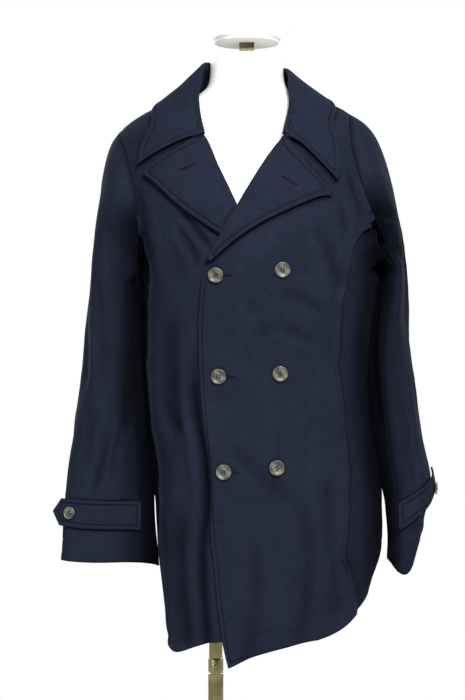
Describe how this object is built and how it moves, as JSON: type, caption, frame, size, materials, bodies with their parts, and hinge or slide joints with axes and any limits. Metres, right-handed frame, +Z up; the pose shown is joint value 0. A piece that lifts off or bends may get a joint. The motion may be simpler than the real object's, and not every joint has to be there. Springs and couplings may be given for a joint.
{
  "type": "pea coat on a dress form",
  "caption": "Double-breasted wool pea coat with wide lapels and flared buttoned cuffs, worn by a limbless dress form on a pole stand.",
  "frame": {"origin": "middle of the underside of the stand's base, on the pole's axis", "axes": "+Z up; the coat's front looks along -Y; the wearer's left is +X"},
  "size_m": [0.5851, 0.34, 1.5296],
  "materials": {
    "melton": "matt, short raised nap",
    "horn": "satin, marbled",
    "form_shell": "smooth matt",
    "stand_metal": "polished, warm tint"
  },
  "bodies": {
    "root": {"front_left": "melton", "front_right": "melton", "side_left": "melton", "side_right": "melton", "back": "melton", "sleeve_upper_left": "melton", "sleeve_under_left": "melton", "sleeve_upper_right": "melton", "sleeve_under_right": "melton", "collar_fall": "melton", "collar_stand": "melton", "lapel_left": "melton", "lapel_right": "melton", "button_right_top": "horn", "button_right_middle": "horn", "button_right_bottom": "horn", "button_left_top": "horn", "button_left_middle": "horn", "button_left_bottom": "horn", "cuff_strap_left": "melton", "cuff_button_left": "horn", "cuff_strap_right": "melton", "cuff_button_right": "horn", "form_torso": "form_shell", "form_neck_stem": "stand_metal", "form_neck_cap": "form_shell", "stand_pole_upper": "stand_metal", "stand_pole_lower": "stand_metal", "stand_base": "stand_metal"}
  },
  "joints": []
}
